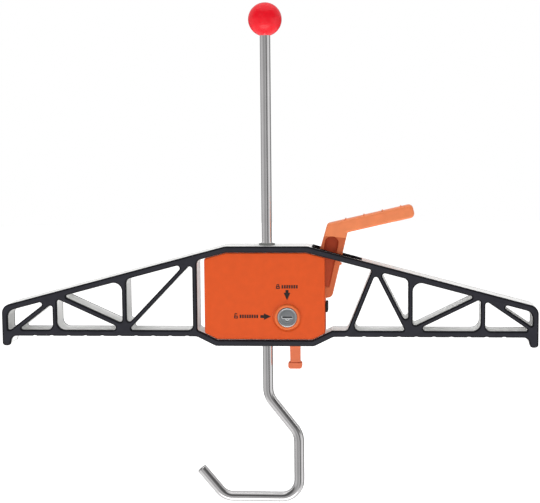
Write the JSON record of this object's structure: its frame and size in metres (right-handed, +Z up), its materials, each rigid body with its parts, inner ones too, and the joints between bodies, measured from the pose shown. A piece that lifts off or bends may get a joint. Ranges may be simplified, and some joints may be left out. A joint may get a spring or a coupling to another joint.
{
  "type": "ladder clamp",
  "caption": "Lockable one-hand ladder clamp: a truss cross-arm with a key-locked housing, squeeze lever, release button and a J-hook rod with a ball knob.",
  "frame": {"origin": "on the hook rod's axis, half-way through the arm's depth, level with the undersides of the two pads that rest on the ladder", "axes": "+X along the arm towards the lever's side, -Y the front with the key lock, +Z up along the rod towards the ball knob"},
  "size_m": [0.517, 0.032, 0.4845],
  "materials": {
    "satin_aluminium": "extruded aluminium, satin clear anodised, fine lines along its depth",
    "black_polymer": "glass-filled black moulding with a slight blue cast, satin",
    "orange_polymer": "fine-grained orange moulding",
    "light_orange_polymer": "orange moulding, a shade lighter and smoother",
    "black_rubber": "moulded rubber",
    "red_gloss": "polished red phenolic ball",
    "bright_steel": "drawn and bent steel rod, bright zinc plated",
    "lock_chrome": "chromed die-cast lock",
    "hardened_steel": "blackened hardened steel plate",
    "zinc_plate": "zinc plated steel",
    "spring_steel": "oiled spring wire",
    "brass": "turned brass"
  },
  "bodies": {
    "clamp_body": {"beam_extrusion": "satin_aluminium", "front_cheek": "black_polymer", "rear_cheek": "black_polymer", "front_housing": "orange_polymer", "rear_housing": "orange_polymer", "housing_screw_1": "zinc_plate", "housing_screw_2": "zinc_plate", "housing_screw_3": "zinc_plate", "housing_screw_4": "zinc_plate", "lever_slot_trim": "black_polymer", "lever_stop": "black_rubber", "lever_pivot_pin": "bright_steel", "mechanism_bracket": "zinc_plate", "lock_body": "lock_chrome", "lock_nut": "zinc_plate", "drive_spring": "spring_steel", "brake_spring": "spring_steel"},
    "rod_guides": {"top_bush": "black_polymer", "bottom_bush": "black_polymer"},
    "rod": {"hook_rod": "bright_steel", "ball_knob": "red_gloss", "knob_insert": "brass"},
    "lever": {"squeeze_lever": "light_orange_polymer", "lever_pivot_bush": "brass"},
    "drive_plates": {"drive_plate_lower": "hardened_steel", "drive_plate_upper": "hardened_steel"},
    "brake": {"brake_plate": "hardened_steel"},
    "release": {"release_button": "light_orange_polymer"},
    "lock_core": {"lock_plug": "lock_chrome", "lock_cam": "zinc_plate", "cam_screw": "zinc_plate"}
  },
  "joints": [
    {"name": "rod_swivel", "type": "hinge", "parent": "clamp_body", "child": "rod_guides", "pos_m": [0, 0, 0], "axis": [0, 0, 1], "continuous": true},
    {"name": "rod_slide", "type": "slide", "parent": "rod_guides", "child": "rod", "axis": [0, 0, 1], "range_m": [-0.195, 0.04]},
    {"name": "lever_squeeze", "type": "hinge", "parent": "clamp_body", "child": "lever", "pos_m": [0.048, 0, 0.042], "axis": [0, 1, 0], "range_deg": [0, 21], "stiffness_Nm_per_rad": 0.6, "springref_deg": -20.05},
    {"name": "drive_lift", "type": "slide", "parent": "clamp_body", "child": "drive_plates", "axis": [0, 0, 1], "range_m": [0, 0.0074], "deforming": ["drive_spring"]},
    {"name": "release_push", "type": "slide", "parent": "clamp_body", "child": "release", "axis": [0, 0, 1], "range_m": [0, 0.0052], "stiffness_N_per_m": 800, "springref_m": -0.004},
    {"name": "brake_tilt", "type": "hinge", "parent": "clamp_body", "child": "brake", "pos_m": [-0.02, 0, 0.036], "axis": [0, -1, 0], "range_deg": [0, 6.05], "deforming": ["brake_spring"]},
    {"name": "lock_turn", "type": "hinge", "parent": "clamp_body", "child": "lock_core", "pos_m": [0.0201, 0, 0.019], "axis": [0, 1, 0], "range_deg": [0, 90]}
  ],
  "couplings": [
    {"joint": "drive_lift", "follows": "lever_squeeze", "m_per_rad": 0.0199},
    {"joint": "brake_tilt", "follows": "release_push", "rad_per_m": 20.138}
  ]
}
